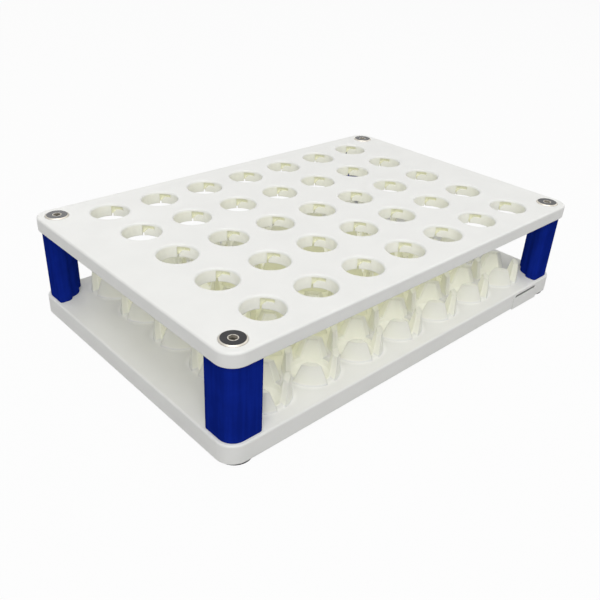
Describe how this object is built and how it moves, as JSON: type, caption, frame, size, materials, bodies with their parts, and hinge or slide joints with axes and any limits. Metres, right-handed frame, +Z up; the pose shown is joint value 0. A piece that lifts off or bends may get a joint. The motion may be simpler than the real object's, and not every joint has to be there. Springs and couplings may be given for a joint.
{
  "type": "microcentrifuge tube rack",
  "caption": "Low white rack with a grid of round tube holes over finger cups, blue corner posts, countersunk corner screws and thin black feet.",
  "frame": {"origin": "centre of the footprint, on the bench top", "axes": "+X along the long side of the rack, +Y from the front to the rear, +Z up"},
  "size_m": [0.14, 0.0934, 0.0321],
  "materials": {
    "white_plastic": "matte",
    "blue_plastic": "satin",
    "black_steel": "satin black oxide",
    "black_rubber": "matte"
  },
  "bodies": {
    "root": {"top_plate": "white_plastic", "base_plate": "white_plastic", "post_front_left": "blue_plastic", "post_front_right": "blue_plastic", "post_rear_left": "blue_plastic", "post_rear_right": "blue_plastic", "screw_front_left": "black_steel", "screw_front_right": "black_steel", "screw_rear_left": "black_steel", "screw_rear_right": "black_steel", "foot_front_left": "black_rubber", "foot_front_right": "black_rubber", "foot_rear_left": "black_rubber", "foot_rear_right": "black_rubber"}
  },
  "joints": []
}
